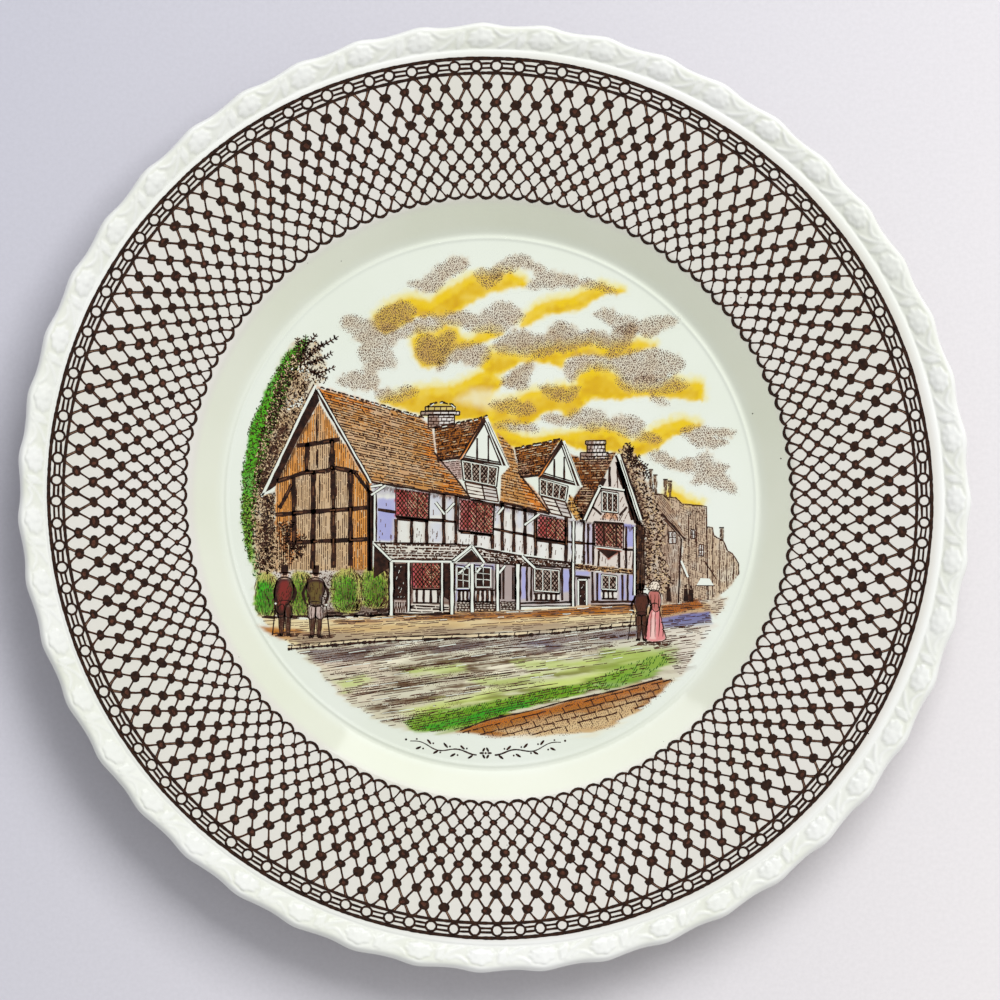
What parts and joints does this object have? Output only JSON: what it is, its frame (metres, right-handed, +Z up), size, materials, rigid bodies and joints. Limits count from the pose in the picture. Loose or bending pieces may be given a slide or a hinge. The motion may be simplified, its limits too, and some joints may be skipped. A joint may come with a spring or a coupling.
{
  "type": "souvenir plate",
  "caption": "Round glazed earthenware plate with a flat well, a wide sloping rim and a moulded lobed edge, for display or serving.",
  "frame": {"origin": "centre of the foot ring's flat face, on the surface that the plate stands on", "axes": "+Z up out of the plate's face, along the axis it is turned about; +X to the right and +Y to the top of the printed picture"},
  "size_m": [0.2537, 0.2538, 0.022],
  "materials": {
    "glazed_earthenware": "glossy clear glaze over white earthenware with a printed and hand-coloured picture"
  },
  "bodies": {
    "root": {"plate": "glazed_earthenware"}
  },
  "joints": []
}
